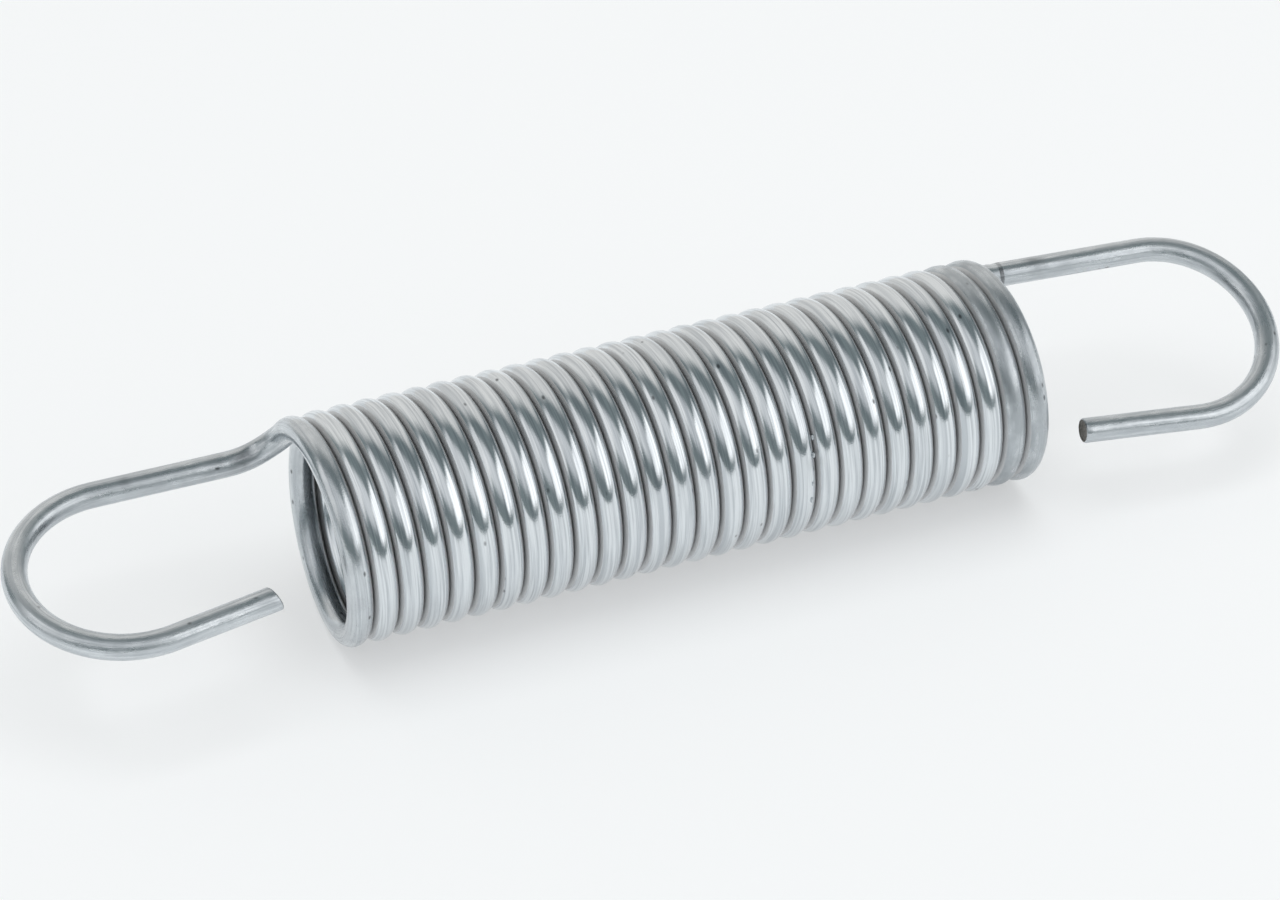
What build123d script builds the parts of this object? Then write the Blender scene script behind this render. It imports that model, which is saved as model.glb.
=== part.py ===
"""A close-wound extension spring with an extended hook at each end, bent from one round wire.

The coil's axis lies along X. The spring rests on its coil, with Z up and the origin under its middle.
Clock angles are measured about the coil's axis, from +Y towards +Z, in degrees.
"""

import os
from math import cos, pi, radians, sin, tan

from build123d import *

# Wire and coil, in millimetres
wire_diameter = 4.0
coil_mean_diameter = 32.4
turn_gap = 0.02  # hairline between closed turns, so that no turn fuses to the next
coil_turns = 28.9
coil_start_angle = 42.3  # clock angle at which the wire leaves the left end of the coil

# Left hook: the wire leaves the coil, bends out to a straight stem, turns back and ends in a short leg
left_lead = 3.0  # from the end of the coil to the corner where the wire turns outwards
left_lead_radius = 5.7
left_stem_radius = 9.8
left_stem_turn = 24.3  # round the coil, from the end of the coil to the stem
left_stem_offset = 5.5  # along the axis, from the end of the coil to the corner where the stem starts
left_stem_length = 24.2
left_stem_tilt = -0.5  # towards the axis
left_plane_lean = 8.6  # from the stem's clock angle to the hook's plane
left_bend_angle = 190.0
left_leg_length = 16.8
left_cut_angle = 18.0  # sheared off aslant
left_cut_clock = 57.0  # the clock angle that the slanted face leans towards

# Right hook: the same, but with tighter bends, and cut off square
right_lead = 4.8
right_lead_radius = 4.5
right_stem_radius = 4.0
right_stem_turn = 21.8
right_stem_offset = 4.2
right_stem_length = 26.3
right_stem_tilt = 3.5
right_plane_lean = 3.6
right_bend_angle = 184.0
right_leg_length = 19.9

# Worked out from the sizes above
wire_radius = wire_diameter / 2
coil_radius = coil_mean_diameter / 2
hook_radius = coil_radius  # each hook's bend is as wide as the coil that it grew from
pitch = wire_diameter + turn_gap
helix_slope = pitch / (2 * pi)  # advance along the axis for each radian
coil_length = pitch * coil_turns
coil_end_angle = coil_start_angle + 360 * coil_turns
left_cut_spare = wire_radius * tan(radians(left_cut_angle))  # wire that the slanted cut needs
run_share = 0.98  # the most of a straight run that its bends may take up


def reach(stem_offset, stem_length, stem_tilt):
    """How far a hook stands out from the middle of the coil."""
    straight = stem_length * cos(radians(stem_tilt)) - hook_radius * sin(radians(stem_tilt))
    return coil_length / 2 + stem_offset + straight + hook_radius + wire_radius


left_reach = reach(left_stem_offset, left_stem_length, left_stem_tilt)
right_reach = reach(right_stem_offset, right_stem_length, right_stem_tilt)
coil_centre = Vector((left_reach - right_reach) / 2, 0, coil_radius + wire_radius)


def around(angle, distance=1.0):
    """A vector square to the coil's axis, at a clock angle."""
    return Vector(0, distance * cos(radians(angle)), distance * sin(radians(angle)))


def hook_line(side, coil_angle, lead, lead_radius, stem_radius, stem_turn, stem_offset,
              stem_length, stem_tilt, plane_lean, bend_angle, leg_length):
    """One hook's centreline, from the end of the coil to the tip. side is -1 at the left, +1 at the right."""
    stem_angle = coil_angle + side * stem_turn
    plane_angle = stem_angle - plane_lean
    outward = Vector(side, 0, 0)
    coil_end = coil_centre + outward * (coil_length / 2)
    along_coil = (around(coil_angle + 90, coil_radius) + Vector(helix_slope, 0, 0)).normalized()
    tilt = radians(stem_tilt)
    along_stem = outward * cos(tilt) - around(plane_angle) * sin(tilt)
    inward = -(around(plane_angle) * cos(tilt) + outward * sin(tilt))

    start = coil_end + around(coil_angle, coil_radius)
    lead_corner = start + along_coil * (side * lead)
    stem_corner = coil_end + outward * stem_offset + around(stem_angle, coil_radius)
    stem_end = stem_corner + along_stem * stem_length
    bend_centre = stem_end + inward * hook_radius

    # A bend is no wider than the straight runs beside it leave room for
    slant = stem_corner - lead_corner
    lead_half_turn = tan(radians(along_coil.get_angle(slant * side) / 2))
    stem_half_turn = tan(radians(slant.get_angle(along_stem) / 2))
    lead_trim = min(lead_radius * lead_half_turn, run_share * lead)
    stem_trim = min(stem_radius * stem_half_turn, run_share * (slant.length - lead_trim))
    radii = (lead_trim / lead_half_turn, stem_trim / stem_half_turn)

    def on_bend(angle):
        back = inward * (hook_radius * cos(radians(angle)))
        return bend_centre - back + along_stem * (hook_radius * sin(radians(angle)))

    with BuildLine() as line:
        FilletPolyline(start, lead_corner, stem_corner, stem_end, radius=radii)
        bend = ThreePointArc(stem_end, on_bend(bend_angle / 2), on_bend(bend_angle))
        Line(bend @ 1, bend @ 1 + (bend % 1) * leg_length)
    return line


left_hook = hook_line(-1, coil_start_angle, left_lead, left_lead_radius, left_stem_radius,
                      left_stem_turn, left_stem_offset, left_stem_length, left_stem_tilt,
                      left_plane_lean, left_bend_angle, left_leg_length + left_cut_spare)
right_hook = hook_line(1, coil_end_angle, right_lead, right_lead_radius, right_stem_radius,
                       right_stem_turn, right_stem_offset, right_stem_length, right_stem_tilt,
                       right_plane_lean, right_bend_angle, right_leg_length)

with BuildLine() as coil:
    # A helix along X starts at the top, at a clock angle of 90 degrees
    helix = Helix(pitch, coil_length, coil_radius, direction=(1, 0, 0), mode=Mode.PRIVATE)
    helix = helix.rotate(Axis.X, coil_start_angle - 90)
    add(helix.translate(coil_centre - Vector(coil_length / 2, 0, 0)))

with BuildPart() as spring_wire:
    with BuildSketch(Plane(coil.line @ 0, z_dir=coil.line % 0)):
        Circle(wire_radius)
    sweep(path=coil.wire(), is_frenet=True)

    for hook in (left_hook, right_hook):
        centreline = hook.wire()
        with BuildSketch(Plane(centreline @ 0, z_dir=centreline % 0)):
            Circle(wire_radius)
        sweep(path=centreline)

    # The shear leaves the centreline as long as it was drawn, and cuts through its end
    leg_end = left_hook.wire() @ 1
    leg_way = left_hook.wire() % 1
    cut_tilt = radians(left_cut_angle)
    cut_way = leg_way * cos(cut_tilt) + around(left_cut_clock) * sin(cut_tilt)
    with BuildSketch(Plane(leg_end - leg_way * left_cut_spare, z_dir=cut_way)):
        Circle(wire_diameter)
    extrude(amount=wire_diameter, mode=Mode.SUBTRACT)

spring_wire.part.label = "spring_wire"
os.makedirs("parts", exist_ok=True)
export_step(spring_wire.part, "parts/spring_wire.step")

drawn_length = coil.wire().length + left_hook.wire().length + right_hook.wire().length - left_cut_spare
drawn_volume = pi * wire_radius**2 * drawn_length
print("wire length", round(drawn_length, 2), "mm")
print("solids", len(spring_wire.part.solids()), "volume", round(spring_wire.part.volume, 2))
print("volume of a straight wire as long", round(drawn_volume, 2))
print("size", spring_wire.part.bounding_box())
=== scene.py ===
import bpy, bmesh, math
from mathutils import Matrix, Quaternion, Vector
from mathutils.kdtree import KDTree


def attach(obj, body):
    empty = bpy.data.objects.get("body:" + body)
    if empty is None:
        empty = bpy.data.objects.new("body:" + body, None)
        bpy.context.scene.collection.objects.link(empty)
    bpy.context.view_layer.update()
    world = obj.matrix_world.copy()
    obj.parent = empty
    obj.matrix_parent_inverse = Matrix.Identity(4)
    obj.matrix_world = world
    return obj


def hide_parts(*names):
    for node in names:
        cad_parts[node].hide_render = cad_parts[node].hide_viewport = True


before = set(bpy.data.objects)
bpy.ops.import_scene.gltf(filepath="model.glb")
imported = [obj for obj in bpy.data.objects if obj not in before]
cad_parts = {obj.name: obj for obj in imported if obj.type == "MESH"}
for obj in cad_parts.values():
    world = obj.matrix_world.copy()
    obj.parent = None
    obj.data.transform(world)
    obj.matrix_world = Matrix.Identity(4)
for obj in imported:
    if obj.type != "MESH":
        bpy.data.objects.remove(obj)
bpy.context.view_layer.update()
mm = 0.001

# the wire: one coil and two hooks, with the sizes that the CAD part was drawn with
wire = {
    "diameter": 4.0 * mm,
    "meanDiameter": 32.4 * mm,
    "turns": 28.9,
    "pitch": 4.02 * mm,
    "startAngle": 42.3,  # clock angles run from +Y towards +Z, about the coil's axis
    "segments": 24,  # round the wire
    "stepsPerTurn": 96,
    "stepLength": 1.1 * mm,  # along the hooks
    "fewestSteps": 3,  # in a bend
    "sharpAngle": 40.0,  # edges sharper than this stay crisp
    "ringReach": 1.05, "ringSlack": 0.02 * mm,  # how far round a ring's centre its points are looked for
}
leftHook = {
    "side": -1,
    "lead": 3.0 * mm, "leadRadius": 5.7 * mm, "stemRadius": 9.8 * mm,
    "stemAngle": 18.0, "stemOffset": 5.5 * mm, "stemLength": 24.2 * mm, "stemTilt": -0.5,
    "planeAngle": 9.4, "bendAngle": 190.0, "legLength": 16.8 * mm,
    "cutAngle": 18.0, "cutClock": 57.0,  # sheared off aslant
}
rightHook = {
    "side": 1,
    "lead": 4.8 * mm, "leadRadius": 4.5 * mm, "stemRadius": 4.0 * mm,
    "stemAngle": 28.1, "stemOffset": 4.2 * mm, "stemLength": 26.3 * mm, "stemTilt": 3.5,
    "planeAngle": 24.5, "bendAngle": 184.0, "legLength": 19.9 * mm,
    "cutAngle": 0.0, "cutClock": 0.0,  # cut off square
}
coilRadius = wire["meanDiameter"] / 2
wireRadius = wire["diameter"] / 2
coilLength = wire["pitch"] * wire["turns"]


def hookReach(hook):
    # how far a hook stands out from the coil's middle
    tilt = math.radians(hook["stemTilt"])
    straight = hook["stemLength"] * math.cos(tilt) - coilRadius * math.sin(tilt)
    return coilLength / 2 + hook["stemOffset"] + straight + coilRadius + wireRadius


coilCentre = Vector(((hookReach(leftHook) - hookReach(rightHook)) / 2, 0, coilRadius + wireRadius))


def around(angle, distance=1.0):
    # out from the coil's axis at a clock angle
    turned = math.radians(angle)
    return Vector((0, distance * math.cos(turned), distance * math.sin(turned)))


def alongCoil(angle):
    # the way the coil's wire runs at a clock angle, towards +X
    return (around(angle + 90, coilRadius) + Vector((wire["pitch"] / math.tau, 0, 0))).normalized()


def hookRoute(hook, coilAngle):
    # straight runs and bends of a hook, from the end of the coil to the tip
    side = hook["side"]
    outward = Vector((side, 0, 0))
    across = around(hook["planeAngle"])
    tilt = math.radians(hook["stemTilt"])
    alongStem = outward * math.cos(tilt) - across * math.sin(tilt)
    inward = -(across * math.cos(tilt) + outward * math.sin(tilt))
    coilEnd = coilCentre + outward * (coilLength / 2)
    start = coilEnd + around(coilAngle, coilRadius)
    leadWay = alongCoil(coilAngle) * side
    leadCorner = start + leadWay * hook["lead"]
    stemCorner = coilEnd + outward * hook["stemOffset"] + around(hook["stemAngle"], coilRadius)
    slantWay = (stemCorner - leadCorner).normalized()
    leadTurn = leadWay.angle(slantWay)
    stemTurn = slantWay.angle(alongStem)
    leadTrim = hook["leadRadius"] * math.tan(leadTurn / 2)
    stemTrim = hook["stemRadius"] * math.tan(stemTurn / 2)
    return [
        ("straight", leadWay, hook["lead"] - leadTrim),
        ("bend", slantWay, hook["leadRadius"]),
        ("straight", slantWay, (stemCorner - leadCorner).length - leadTrim - stemTrim),
        ("bend", alongStem, hook["stemRadius"]),
        ("straight", alongStem, hook["stemLength"] - stemTrim),
        ("hookBend", inward, math.radians(hook["bendAngle"])),
        ("leg", None, hook["legLength"]),
    ], start, leadWay


def deselectAll():
    for thing in bpy.context.selected_objects:
        thing.select_set(False)


def selectRing(piece, centre, normal):
    # in edit mode: the ring of points that lies square to the wire at a place on its centreline
    bpy.ops.mesh.select_mode(type="VERT")
    bpy.ops.mesh.select_all(action="DESELECT")
    mesh = bmesh.from_edit_mesh(piece.data)
    reach = wireRadius * wire["ringReach"]
    for vert in mesh.verts:
        off = vert.co - centre
        if off.length < reach and abs(off.dot(normal)) < wire["ringSlack"]:
            vert.select = True
    mesh.select_flush(True)
    bmesh.update_edit_mesh(piece.data)


def bendHook(piece, hook, coilAngle):
    # extrudes the coil's open end along the hook's straight runs and spins it round the bends
    route, place, way = hookRoute(hook, coilAngle)
    selectRing(piece, place, way)
    line = [(place.copy(), way.copy())]
    for kind, target, size in route:
        if kind in ("straight", "leg"):
            steps = max(1, round(size / wire["stepLength"]))
            move = way * (size / steps)
            for step in range(steps):
                bpy.ops.mesh.extrude_region_move(TRANSFORM_OT_translate={"value": move})
                place = place + move
                line.append((place.copy(), way.copy()))
            continue
        if kind == "bend":
            radius, turn = size, way.angle(target)
            inside = (target - way * target.dot(way)).normalized()
        else:  # the hook's own bend is as wide as the coil
            radius, turn = coilRadius, size
            inside = target
        axis = way.cross(inside).normalized()
        centre = place + inside * radius
        steps = max(wire["fewestSteps"], round(radius * turn / wire["stepLength"]))
        bpy.ops.mesh.spin(steps=steps, angle=-turn, center=centre, axis=axis)
        begin, beginWay = place.copy(), way.copy()
        for step in range(1, steps + 1):
            rotation = Matrix.Rotation(turn * step / steps, 3, axis)
            place = centre + rotation @ (begin - centre)
            way = rotation @ beginWay
            line.append((place.copy(), way.copy()))
    return line


# the sheared tips: their rolled edges step in and rise, then a shallow dish lies inside a rim
tip = {
    "roll": [(0.06 * mm, 0.12 * mm), (0.14 * mm, 0.10 * mm)],
    "rim": 0.3 * mm, "dish": 0.06 * mm,
}
rollHeight = sum(rise for stepIn, rise in tip["roll"])
plated, bare = 0, 1  # the wire's material slots


def shearTip(piece, hook, line):
    # moves the wire's last ring onto the slanted cut and fills it
    place, way = line[-1]
    tilt = math.radians(hook["cutAngle"])
    cutWay = way * math.cos(tilt) + around(hook["cutClock"]) * math.sin(tilt)
    selectRing(piece, place, way)
    mesh = bmesh.from_edit_mesh(piece.data)
    for vert in mesh.verts:
        if vert.select:
            vert.co -= way * ((vert.co - place).dot(cutWay) / way.dot(cutWay) + rollHeight)
    bmesh.update_edit_mesh(piece.data)
    bpy.ops.mesh.edge_face_add()
    mesh = bmesh.from_edit_mesh(piece.data)
    for face in mesh.faces:
        if all(vert.select for vert in face.verts):
            face.material_index = bare
    bmesh.update_edit_mesh(piece.data)


def breakTipEdges(piece):
    # rolls the sheared edges over and leaves a shallow dish in each face
    bpy.ops.mesh.select_mode(type="FACE")
    bpy.ops.mesh.select_all(action="DESELECT")
    mesh = bmesh.from_edit_mesh(piece.data)
    for face in mesh.faces:
        face.select_set(face.material_index == bare)
    bmesh.update_edit_mesh(piece.data)
    for stepIn, rise in tip["roll"]:
        bpy.ops.mesh.inset(thickness=stepIn, depth=rise, use_individual=True)
    mesh = bmesh.from_edit_mesh(piece.data)
    for face in mesh.faces:
        if face.material_index == bare and not face.select:
            face.material_index = plated  # the rolled edge carries the plate
    bmesh.update_edit_mesh(piece.data)
    bpy.ops.mesh.inset(thickness=tip["rim"], depth=-tip["dish"], use_individual=True)
    bpy.ops.mesh.poke()


# in mm: where the bending tool bit into the left stem
dents = [
    {"place": (-63.0, 13.4, 26.4), "reach": 1.5, "move": (0.12, 0.26, -0.36)},
    {"place": (-64.8, 12.6, 25.4), "reach": 1.8, "move": (-0.05, 0.12, 0.1)},
]


def pushPoints(piece, place, reach, move):
    # a dent: the nearest point is pushed and its neighbours follow it less and less
    bpy.ops.mesh.select_mode(type="VERT")
    bpy.ops.mesh.select_all(action="DESELECT")
    mesh = bmesh.from_edit_mesh(piece.data)
    nearest = min(mesh.verts, key=lambda vert: (vert.co - place).length)
    nearest.select = True
    mesh.select_flush(True)
    bmesh.update_edit_mesh(piece.data)
    bpy.ops.transform.translate(
        value=move, use_proportional_edit=True, use_proportional_connected=True,
        proportional_edit_falloff="SMOOTH", proportional_size=reach)


nip = {"fromTip": 96.4 * mm, "depth": 0.09 * mm, "width": 0.35 * mm}  # on the right stem


def nipRing(piece, line):
    # a shallow ring that the bending jaws nipped round the stem
    index = len(line) - 1
    travelled = 0.0
    while travelled < nip["fromTip"]:
        travelled += (line[index][0] - line[index - 1][0]).length
        index -= 1
    place, way = line[index]
    selectRing(piece, place, way)
    share = 1 - nip["depth"] / wireRadius
    bpy.ops.transform.resize(value=(share, share, share), center_override=place)


def makeWire():
    # a circle screwed along the coil, then drawn out into the two hooks
    deselectAll()
    start = coilCentre - Vector((coilLength / 2, 0, 0)) + around(wire["startAngle"], coilRadius)
    way = alongCoil(wire["startAngle"])
    bpy.ops.mesh.primitive_circle_add(
        vertices=wire["segments"], radius=wireRadius, fill_type="NOTHING",
        location=start - coilCentre, rotation=way.to_track_quat("Z", "Y").to_euler())
    piece = bpy.context.active_object
    piece.name = "spring_wire_drawn"
    bpy.ops.object.transform_apply(location=True, rotation=True, scale=True)
    screw = piece.modifiers.new("coil", "SCREW")
    screw.axis = "X"
    screw.angle = math.tau * wire["turns"]
    screw.screw_offset = coilLength
    screw.steps = screw.render_steps = round(wire["turns"] * wire["stepsPerTurn"])
    bpy.ops.object.modifier_apply(modifier=screw.name)
    piece.location = coilCentre
    bpy.ops.object.transform_apply(location=True, rotation=True, scale=True)
    print("coil made:", len(piece.data.polygons), "faces")

    bpy.ops.object.mode_set(mode="EDIT")
    endAngle = wire["startAngle"] + 360 * wire["turns"]
    leftLine = bendHook(piece, leftHook, wire["startAngle"])
    rightLine = bendHook(piece, rightHook, endAngle)
    print("hooks bent")
    shearTip(piece, leftHook, leftLine)
    shearTip(piece, rightHook, rightLine)
    bpy.ops.mesh.select_all(action="SELECT")
    bpy.ops.mesh.normals_make_consistent(inside=False)
    breakTipEdges(piece)
    for dent in dents:
        place, move = Vector(dent["place"]) * mm, Vector(dent["move"]) * mm
        pushPoints(piece, place, dent["reach"] * mm, move)
    nipRing(piece, rightLine)
    bpy.ops.object.mode_set(mode="OBJECT")
    bpy.ops.object.shade_smooth_by_angle(angle=math.radians(wire["sharpAngle"]))
    print("tips sheared:", len(piece.data.polygons), "faces")
    return piece, leftLine, rightLine


def coilLine():
    # centres of the coil's rings, from its left end to its right end
    count = round(wire["turns"] * wire["stepsPerTurn"])
    left = coilCentre - Vector((coilLength / 2, 0, 0))
    line = []
    for step in range(count + 1):
        angle = wire["startAngle"] + 360 * wire["turns"] * step / count
        place = left + Vector((coilLength * step / count, 0, 0)) + around(angle, coilRadius)
        line.append((place, alongCoil(angle)))
    return line


def layPath(piece, leftLine, rightLine):
    # gives each point its place on the straight wire, in mm: two across it and one along it
    line = [(place, -way) for place, way in reversed(leftLine)] + coilLine()[1:-1] + rightLine
    tree = KDTree(len(line))
    for index, (place, way) in enumerate(line):
        tree.insert(place, index)
    tree.balance()
    frames, travelled = [], 0.0
    side = line[0][1].orthogonal().normalized()
    for index, (place, way) in enumerate(line):
        if index:
            travelled += (place - line[index - 1][0]).length
            side = (side - way * side.dot(way)).normalized()
        frames.append((side.copy(), way.cross(side), travelled))
    firstTurn = len(leftLine) + wire["stepsPerTurn"]
    lastTurn = len(line) - len(rightLine) - wire["stepsPerTurn"]
    values, flanks = [], []
    for vert in piece.data.vertices:
        place, index = tree.find(vert.co)[:2]
        across, up, along = frames[index]
        off = vert.co - place
        further = off.dot(line[index][1])
        values += [off.dot(across) / mm, off.dot(up) / mm, (along + further) / mm]
        onCoil = len(leftLine) < index < len(line) - len(rightLine)
        meetsTurn = onCoil and (index > firstTurn if off.x < 0 else index < lastTurn)
        flanks.append(abs(off.x) / wireRadius if meetsTurn else 0.0)
    attribute = piece.data.attributes.new("wirePath", "FLOAT_VECTOR", "POINT")
    attribute.data.foreach_set("vector", values)
    # how near a point is to where two turns meet: 0 on the outside of the coil, 1 between the turns
    attribute = piece.data.attributes.new("flank", "FLOAT", "POINT")
    attribute.data.foreach_set("value", flanks)
    return travelled


springWire, leftLine, rightLine = makeWire()
wireLength = layPath(springWire, leftLine, rightLine)
print("wire drawn:", round(wireLength / mm, 1), "mm long")
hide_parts("spring_wire")
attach(springWire, "root")


# beads of zinc: place and size in mm; stretch is their length round the coil against their width
zincBeads = {
    "spots": [
        {"place": (17.8, -15.3, 25.4), "size": 0.75, "stretch": 1.5},
        {"place": (17.35, -16.8, 23.2), "size": 0.85, "stretch": 1.2},
        {"place": (17.0, -17.9, 18.6), "size": 0.55, "stretch": 1.6},
        {"place": (16.9, -17.9, 15.5), "size": 0.6, "stretch": 1.8},
    ],
    "subdivisions": 3, "squeeze": 0.7, "lumps": 0.12,
}


def makeBeads():
    # little beads of zinc that stand up from the wire near the middle
    made = []
    for spot in zincBeads["spots"]:
        deselectAll()
        radius = spot["size"] * mm / 2
        bpy.ops.mesh.primitive_ico_sphere_add(
            subdivisions=zincBeads["subdivisions"], radius=radius,
            location=[c * mm for c in spot["place"]])
        bead = bpy.context.active_object
        bead.scale = (zincBeads["squeeze"], 1.0, spot["stretch"])
        bpy.ops.object.transform_apply(location=True, rotation=True, scale=True)
        bpy.ops.object.mode_set(mode="EDIT")
        bpy.ops.transform.vertex_random(offset=radius * zincBeads["lumps"], seed=len(made) + 1)
        bpy.ops.mesh.normals_make_consistent(inside=False)
        bpy.ops.object.mode_set(mode="OBJECT")
        bpy.ops.object.shade_smooth()
        made.append(bead)
    for bead in made:
        bead.select_set(True)
    bpy.context.view_layer.objects.active = made[0]
    bpy.ops.object.join()
    made[0].name = "zinc_beads"
    bpy.context.scene.cursor.location = (0, 0, 0)
    bpy.ops.object.origin_set(type="ORIGIN_CURSOR")
    return made[0]


beads = makeBeads()
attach(beads, "root")
print("beads made")


def linear(hexColour):
    # an sRGB hex colour in linear light
    channels = [int(hexColour[i:i + 2], 16) / 255 for i in (0, 2, 4)]
    return [c / 12.92 if c <= 0.04045 else ((c + 0.055) / 1.055) ** 2.4 for c in channels] + [1]


def newMaterial(name):
    material = bpy.data.materials.new(name)
    material.use_nodes = True
    return material, material.node_tree, material.node_tree.nodes["Principled BSDF"]


def addNode(tree, kind, links=None, inputs=None, **settings):
    # one node with its settings, its fixed inputs and what is linked into it
    node = tree.nodes.new(kind)
    for key, value in settings.items():
        setattr(node, key, value)
    for key, value in (inputs or {}).items():
        node.inputs[key].default_value = value
    for key, source in (links or {}).items():
        tree.links.new(source, node.inputs[key])
    return node


# the Mix node's sockets have the same names, so they go by number
mixFactor, floatA, floatB, floatOut = 0, 2, 3, 0
colourA, colourB, colourOut = 6, 7, 2
rangeEnds = ("From Min", "From Max", "To Min", "To Max")

zinc = {
    "bright": "E2E7EA", "streak": "BCC2C7", "dull": "AEB4B8",  # clear passivated zinc, faintly blue
    # painted shade between the turns, then the grey of the dark marks and pits
    "shadedGroove": "CFD0D1", "darkMarkGrey": "787B7E",
    # patterns on the wire: size in mm across, across and along it, then detail and roughness
    "patterns": {
        "streak": ((0.35, 0.35, 14.0), 3.0, 0.6),  # left by the drawing die
        "band": ((1.0, 1.0, 70.0), 2.0, 0.5),  # duller bands along the wire
        "patch": ((2.2, 2.2, 4.4), 4.0, 0.62),  # duller where the bending tools rubbed
        "grain": ((0.2, 0.2, 0.2), 2.0, 0.5),
    },
    # the part of a pattern that counts, and the range that it is turned into
    "ranges": {
        "streakShare": ("streak", 0.42, 0.66, 0.0, 0.9),
        "bandShare": ("band", 0.52, 0.66, 0.0, 0.8),
        "patchShare": ("patch", 0.3, 0.6, 0.35, 1.0),
        "ragged": ("patch", 0.35, 0.6, 0.4, 1.0),
        "streakGloss": ("streak", 0.3, 0.7, 0.75, 1.35),
        "patchGloss": ("patch", 0.3, 0.7, 0.7, 1.3),
        "waver": ("patch", 0.0, 1.0, -0.06, 0.06),
    },
    "pitSpacing": 1.6, "pitSquash": 0.6, "pitLimit": 0.8,  # spacing in mm; a higher limit leaves fewer
    "pitEdge": (0.08, 0.2, 1.0, 0.0),
    "grooveStart": 0.75, "grooveEdge": 0.03, "grooveRoughness": 0.45,
    "coilRoughness": 0.13, "hookRoughness": 0.17, "turnRoughness": 0.17,  # the last two come on top
    "hookDullness": 0.5, "leftDullness": 0.55, "mottle": 5.0,
    "coilRelief": 0.35, "reliefDepth": 0.02 * mm,
    "leftHook": 104.0, "rightHook": 107.0,  # mm of wire in each hook
    "leftDull": 98.0, "rightDull": 200.0,  # mm of duller turns beside them
    "blend": 10.0,  # mm
}


# dark patches, painted shade at the stems' dents and creases, and smudges: place and size in mm, and how
# dark
marks = [
    {"place": (-64.6, 13.2, 25.8), "size": 3.4, "dark": 1.0},
    {"place": (-68.0, 13.9, 26.0), "size": 3.0, "dark": 0.45},
    {"place": (-82.8, 14.5, 24.9), "size": 1.6, "dark": 0.5},
    {"place": (70.0, 12.6, 28.2), "size": 3.4, "dark": 0.6},
    {"place": (17.4, -16.7, 22.0), "size": 2.2, "dark": 0.5},
]


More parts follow.
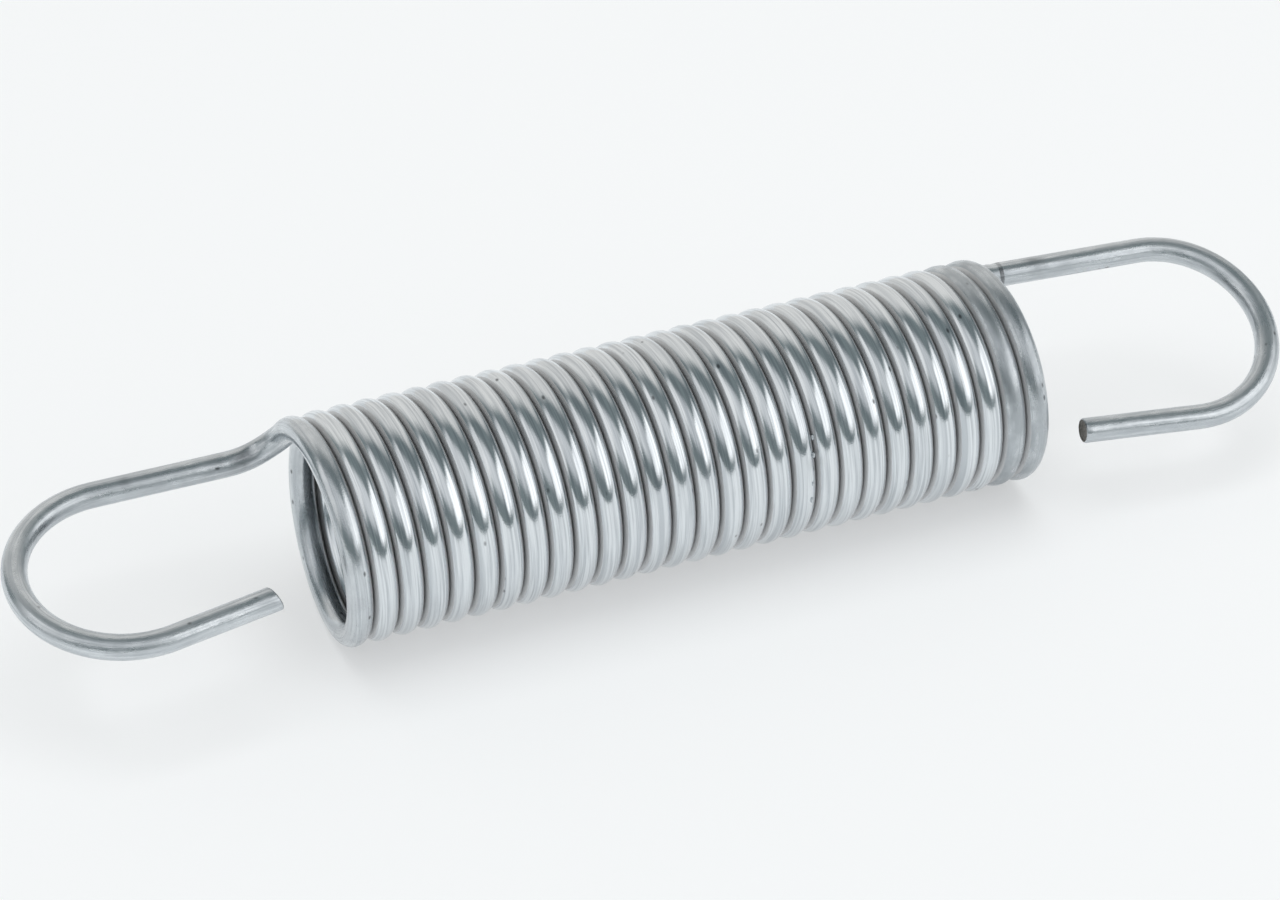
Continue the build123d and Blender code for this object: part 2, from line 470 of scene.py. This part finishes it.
def makeZinc():
    # bright electroplated zinc on drawn steel wire:
    # mirror-like lengthwise bands on the coil, satin on the hooks
    material, tree, shader = newMaterial("bright zinc plate on drawn steel wire")
    path = addNode(tree, "ShaderNodeAttribute", attribute_name="wirePath").outputs["Vector"]
    along = addNode(tree, "ShaderNodeSeparateXYZ", {"Vector": path}).outputs["Z"]
    objectPlace = addNode(tree, "ShaderNodeTexCoord").outputs["Object"]
    pattern, ranged = {}, {}
    for name, (size, detail, roughness) in zinc["patterns"].items():
        place = addNode(tree, "ShaderNodeMapping", {"Vector": path},
                        {"Scale": [1 / width for width in size]}).outputs[0]
        pattern[name] = addNode(
            tree, "ShaderNodeTexNoise", {"Vector": place},
            {"Scale": 1.0, "Detail": detail, "Roughness": roughness}).outputs[0]
    for name, (source, *limits) in zinc["ranges"].items():
        ranged[name] = addNode(tree, "ShaderNodeMapRange", {"Value": pattern[source]},
                               dict(zip(rangeEnds, limits))).outputs[0]

    def stretch(start, end, level):
        # level between two distances along the wire, 0 beyond them
        sides = {}
        for index, (place, before, after) in enumerate(((start, 0.0, level), (end, level, 0.0))):
            limits = (place - zinc["blend"], place + zinc["blend"], before, after)
            sides[index] = addNode(
                tree, "ShaderNodeMapRange", {"Value": along}, dict(zip(rangeEnds, limits)),
                interpolation_type="SMOOTHSTEP").outputs[0]
        return addNode(tree, "ShaderNodeMath", sides, operation="MINIMUM").outputs[0]

    # how much of the duller turns beside the hooks, of the hooks, and of either a place has; the duller
    # turns' darker colour is a painted dull reflection
    whole = wireLength / mm
    coilStart, coilEnd = zinc["leftHook"], whole - zinc["rightHook"]
    leftTurn = stretch(coilStart, coilStart + zinc["leftDull"], zinc["leftDullness"])
    rightTurns = stretch(coilEnd - zinc["rightDull"], coilEnd, 1.0)
    turnShare = addNode(
        tree, "ShaderNodeMath", {0: leftTurn, 1: rightTurns}, operation="ADD").outputs[0]
    coilShare = stretch(coilStart, coilEnd, 1.0)
    hookShare = addNode(
        tree, "ShaderNodeMath", {1: coilShare}, {0: 1.0}, operation="SUBTRACT").outputs[0]
    handled = addNode(
        tree, "ShaderNodeMath", {0: turnShare, 1: hookShare}, operation="ADD").outputs[0]

    streaks = addNode(tree, "ShaderNodeMath", {0: ranged["streakShare"], 1: ranged["bandShare"]},
                      operation="MAXIMUM").outputs[0]
    colour = addNode(tree, "ShaderNodeMix", {mixFactor: streaks},
                     {colourA: linear(zinc["bright"]), colourB: linear(zinc["streak"])},
                     data_type="RGBA").outputs[colourOut]
    # darker colour: wear on the hooks, painted shade on the turns beside them
    wearAndShade = addNode(tree, "ShaderNodeMath", {0: hookShare, 2: turnShare}, {1: zinc["hookDullness"]},
                   operation="MULTIPLY_ADD").outputs[0]
    dullShare = addNode(tree, "ShaderNodeMath", {0: wearAndShade, 1: ranged["patchShare"]},
                        operation="MULTIPLY").outputs[0]

    # marks left by the bending tools: dark patches of painted shade at the dents and creases, smudges,
    # and a ring nipped round the wire
    shadeAndSmudge = addNode(tree, "ShaderNodeMath", {0: along},
                     {1: whole - nip["fromTip"] / mm, 2: nip["width"] / mm},
                     operation="COMPARE").outputs[0]
    for mark in marks:
        off = addNode(tree, "ShaderNodeVectorMath", {0: objectPlace},
                      {1: [c * mm for c in mark["place"]]}, operation="DISTANCE").outputs["Value"]
        limits = (0.0, mark["size"] * mm, mark["dark"], 0.0)
        spot = addNode(tree, "ShaderNodeMapRange", {"Value": off}, dict(zip(rangeEnds, limits)),
                       interpolation_type="SMOOTHSTEP").outputs[0]
        shadeAndSmudge = addNode(
            tree, "ShaderNodeMath", {0: shadeAndSmudge, 1: spot}, operation="MAXIMUM").outputs[0]
    shadeAndSmudge = addNode(tree, "ShaderNodeMath", {0: shadeAndSmudge, 1: ranged["ragged"]},
                     operation="MULTIPLY").outputs[0]

    # sparse dark pits in the plate
    perCell = 1 / zinc["pitSpacing"]
    pitPlace = addNode(tree, "ShaderNodeMapping", {"Vector": path},
                       {"Scale": (perCell, perCell, perCell * zinc["pitSquash"])}).outputs[0]
    pitCell = addNode(tree, "ShaderNodeTexVoronoi", {"Vector": pitPlace}, {"Scale": 1.0})
    pitChance = addNode(tree, "ShaderNodeMath", {0: pitCell.outputs["Color"]},
                        {1: zinc["pitLimit"]}, operation="GREATER_THAN").outputs[0]
    pitShape = addNode(tree, "ShaderNodeMapRange", {"Value": pitCell.outputs["Distance"]},
                       dict(zip(rangeEnds, zinc["pitEdge"]))).outputs[0]
    pit = addNode(
        tree, "ShaderNodeMath", {0: pitChance, 1: pitShape}, operation="MULTIPLY").outputs[0]

    # between the turns: painted shade, a darker matt grey band with an uneven edge
    flank = addNode(tree, "ShaderNodeAttribute", attribute_name="flank").outputs["Fac"]
    wavering = addNode(
        tree, "ShaderNodeMath", {0: flank, 1: ranged["waver"]}, operation="ADD").outputs[0]
    shadedGroove = addNode(tree, "ShaderNodeMapRange", {"Value": wavering}, {
        "From Min": zinc["grooveStart"] - zinc["grooveEdge"],
        "From Max": zinc["grooveStart"] + zinc["grooveEdge"]}).outputs[0]

    # the last of these mixes paints shade between the turns
    for share, over in ((dullShare, "dull"), (shadeAndSmudge, "darkMarkGrey"), (pit, "darkMarkGrey"), (shadedGroove, "shadedGroove")):
        colour = addNode(tree, "ShaderNodeMix", {mixFactor: share, colourA: colour},
                         {colourB: linear(zinc[over])}, data_type="RGBA").outputs[colourOut]
    tree.links.new(colour, shader.inputs["Base Color"])

    finish = addNode(tree, "ShaderNodeMath", {0: turnShare},
                     {1: zinc["turnRoughness"], 2: zinc["coilRoughness"]},
                     operation="MULTIPLY_ADD").outputs[0]
    finish = addNode(tree, "ShaderNodeMath", {0: hookShare, 2: finish}, {1: zinc["hookRoughness"]},
                     operation="MULTIPLY_ADD").outputs[0]
    for name in ("streakGloss", "patchGloss"):
        finish = addNode(
            tree, "ShaderNodeMath", {0: finish, 1: ranged[name]}, operation="MULTIPLY").outputs[0]
    finish = addNode(tree, "ShaderNodeMix", {mixFactor: shadedGroove, floatA: finish},
                     {floatB: zinc["grooveRoughness"]}, data_type="FLOAT").outputs[floatOut]
    tree.links.new(finish, shader.inputs["Roughness"])

    # relief: die lines and grain all over, and mottled where the wire was handled
    relief = addNode(tree, "ShaderNodeMath", {0: pattern["streak"], 1: pattern["grain"]},
                     operation="ADD").outputs[0]
    mottle = addNode(
        tree, "ShaderNodeMath", {0: pattern["patch"], 1: handled}, operation="MULTIPLY").outputs[0]
    relief = addNode(tree, "ShaderNodeMath", {0: mottle, 2: relief}, {1: zinc["mottle"]},
                     operation="MULTIPLY_ADD").outputs[0]
    pitted = addNode(
        tree, "ShaderNodeMath", {0: relief, 1: pit}, operation="SUBTRACT").outputs[0]
    strength = addNode(tree, "ShaderNodeMapRange", {"Value": handled},
                       {"To Min": zinc["coilRelief"], "To Max": 1.0}).outputs[0]
    bump = addNode(tree, "ShaderNodeBump", {"Height": pitted, "Strength": strength},
                   {"Distance": zinc["reliefDepth"]})
    tree.links.new(bump.outputs[0], shader.inputs["Normal"])
    shader.inputs["Metallic"].default_value = 1.0
    return material


steel = {
    "fresh": "9A9790", "stain": "5B5751", "stained": (0.35, 0.65, 0.0, 1.0),
    "grain": 0.3 * mm, "detail": 4.0, "grainRoughness": 0.65,
    "relief": 0.6, "reliefDepth": 0.08 * mm, "roughness": 0.45,
}


def makeSteel():
    # bare sheared steel at the wire's ends: dull brownish grey, torn grain, no plate
    material, tree, shader = newMaterial("bare sheared steel")
    place = addNode(tree, "ShaderNodeTexCoord").outputs["Object"]
    grain = addNode(
        tree, "ShaderNodeTexNoise", {"Vector": place},
        {"Scale": 1 / steel["grain"], "Detail": steel["detail"],
         "Roughness": steel["grainRoughness"]}).outputs[0]
    share = addNode(tree, "ShaderNodeMapRange", {"Value": grain},
                    dict(zip(rangeEnds, steel["stained"]))).outputs[0]
    colour = addNode(tree, "ShaderNodeMix", {mixFactor: share},
                     {colourA: linear(steel["stain"]), colourB: linear(steel["fresh"])},
                     data_type="RGBA").outputs[colourOut]
    tree.links.new(colour, shader.inputs["Base Color"])
    bump = addNode(tree, "ShaderNodeBump", {"Height": grain},
                   {"Strength": steel["relief"], "Distance": steel["reliefDepth"]})
    tree.links.new(bump.outputs[0], shader.inputs["Normal"])
    shader.inputs["Metallic"].default_value = 1.0
    shader.inputs["Roughness"].default_value = steel["roughness"]
    return material


springWire.data.materials.append(makeZinc())
springWire.data.materials.append(makeSteel())
beads.data.materials.append(springWire.data.materials[0])
print("materials made")


# where the object is looked at from
cameraSpec = {
    "azimuth": 22.62, "elevation": 35.42, "distance": 0.65538, "lens": 118.35, "sensor": 36,
    "aim": (-3.80 * mm, 1.46 * mm, 17.94 * mm),
}


def makeCamera():
    azimuth, elevation = math.radians(cameraSpec["azimuth"]), math.radians(cameraSpec["elevation"])
    away = Vector((-math.sin(azimuth) * math.cos(elevation),
                   -math.cos(azimuth) * math.cos(elevation), math.sin(elevation)))
    bpy.ops.object.camera_add(
        location=Vector(cameraSpec["aim"]) + away * cameraSpec["distance"],
        rotation=(math.pi / 2 - elevation, 0, -azimuth))
    camera = bpy.context.active_object
    camera.data.lens = cameraSpec["lens"]
    camera.data.sensor_width = cameraSpec["sensor"]
    bpy.context.scene.camera = camera


# the studio: white cards round the table, and a lamp overhead that no reflection shows.
# bearing runs from +Y towards +X and height is above the table, both in degrees, as are the width and
# tall that a card spans; glow is its brightness, and soft the share of it that fades at each edge
cards = {
    "key_card": {
        "bearing": 129, "height": 29, "width": 84, "tall": 56, "distance": 1.1, "roll": 14,
        "glow": 1.35, "soft": 0.24, "colour": "FFFFFF"},
    "front_card": {
        "bearing": 212, "height": 52, "width": 80, "tall": 66, "distance": 1.25, "roll": 0,
        "glow": 0.78, "soft": 0.32, "colour": "FBFDFF"},
    "left_card": {
        "bearing": 268, "height": 32, "width": 56, "tall": 58, "distance": 1.1, "roll": 0,
        "glow": 0.92, "soft": 0.25, "colour": "FFFFFF"},
    "back_card": {
        "bearing": 10, "height": 25, "width": 112, "tall": 100, "distance": 1.3, "roll": 0,
        "glow": 0.82, "soft": 0.3, "colour": "FFFDFA"},
}
studio = {
    "dim": "7B8587", "dimGlow": 1.0,
    "floor": "B8BABB", "floorGlow": 0.42, "floorRoughness": 0.9, "floorSize": 4.0,
    "lampHeight": 1.6, "lampSize": 1.4, "lampPower": 14.0,
}


def makeCard(name, card):
    bearing, height = math.radians(card["bearing"]), math.radians(card["height"])
    out = Vector((math.sin(bearing) * math.cos(height), math.cos(bearing) * math.cos(height),
                  math.sin(height)))
    turn = (-out).to_track_quat("Z", "Y") @ Quaternion((0, 0, 1), math.radians(card["roll"]))
    bpy.ops.mesh.primitive_plane_add(
        size=1, location=out * card["distance"], rotation=turn.to_euler())
    plane = bpy.context.active_object
    plane.name = name
    reach = 2 * card["distance"]
    plane.scale = (reach * math.tan(math.radians(card["width"] / 2)),
                   reach * math.tan(math.radians(card["tall"] / 2)), 1)
    material = bpy.data.materials.new("glowing card " + name)
    material.use_nodes = True
    tree = material.node_tree
    tree.nodes.clear()
    place = addNode(tree, "ShaderNodeTexCoord").outputs["Object"]
    axes = addNode(tree, "ShaderNodeSeparateXYZ", {"Vector": place})
    edge = 0.5  # the plane is 1 across
    limits = (edge - card["soft"], edge, 1.0, 0.0)
    fades = {}
    for index, axis in enumerate(("X", "Y")):
        off = addNode(
            tree, "ShaderNodeMath", {0: axes.outputs[axis]}, operation="ABSOLUTE").outputs[0]
        fades[index] = addNode(tree, "ShaderNodeMapRange", {"Value": off},
                               dict(zip(rangeEnds, limits)), interpolation_type="SMOOTHSTEP").outputs[0]
    fade = addNode(tree, "ShaderNodeMath", fades, operation="MULTIPLY").outputs[0]
    light = addNode(tree, "ShaderNodeEmission", None,
                    {"Color": linear(card["colour"]), "Strength": card["glow"]}).outputs[0]
    clear = addNode(tree, "ShaderNodeBsdfTransparent").outputs[0]
    faded = addNode(tree, "ShaderNodeMixShader", {0: fade, 1: clear, 2: light}).outputs[0]
    addNode(tree, "ShaderNodeOutputMaterial", {"Surface": faded})
    plane.data.materials.append(material)
    plane.visible_camera = False
    plane.visible_shadow = False


def makeStudio():
    deselectAll()
    bpy.ops.mesh.primitive_plane_add(size=studio["floorSize"])
    floor = bpy.context.active_object
    floor.name = "studio_floor"
    material, tree, shader = newMaterial("white studio table")
    shader.inputs["Base Color"].default_value = linear(studio["floor"])
    shader.inputs["Roughness"].default_value = studio["floorRoughness"]
    shader.inputs["Specular IOR Level"].default_value = 0.0
    shader.inputs["Emission Color"].default_value = (1, 1, 1, 1)
    shader.inputs["Emission Strength"].default_value = studio["floorGlow"]
    floor.data.materials.append(material)
    for name, card in cards.items():
        makeCard(name, card)
    bpy.ops.object.light_add(type="AREA", location=(0, 0, studio["lampHeight"]))
    lamp = bpy.context.active_object
    lamp.name = "overhead_lamp"
    lamp.data.size = studio["lampSize"]
    lamp.data.energy = studio["lampPower"]
    lamp.visible_glossy = False
    lamp.visible_camera = False
    world = bpy.data.worlds.new("dim studio")
    world.use_nodes = True
    bpy.context.scene.world = world
    background = world.node_tree.nodes["Background"]
    background.inputs["Color"].default_value = linear(studio["dim"])
    background.inputs["Strength"].default_value = studio["dimGlow"]
    bpy.context.scene.view_settings.view_transform = "Standard"


makeCamera()
makeStudio()
print("studio lit")
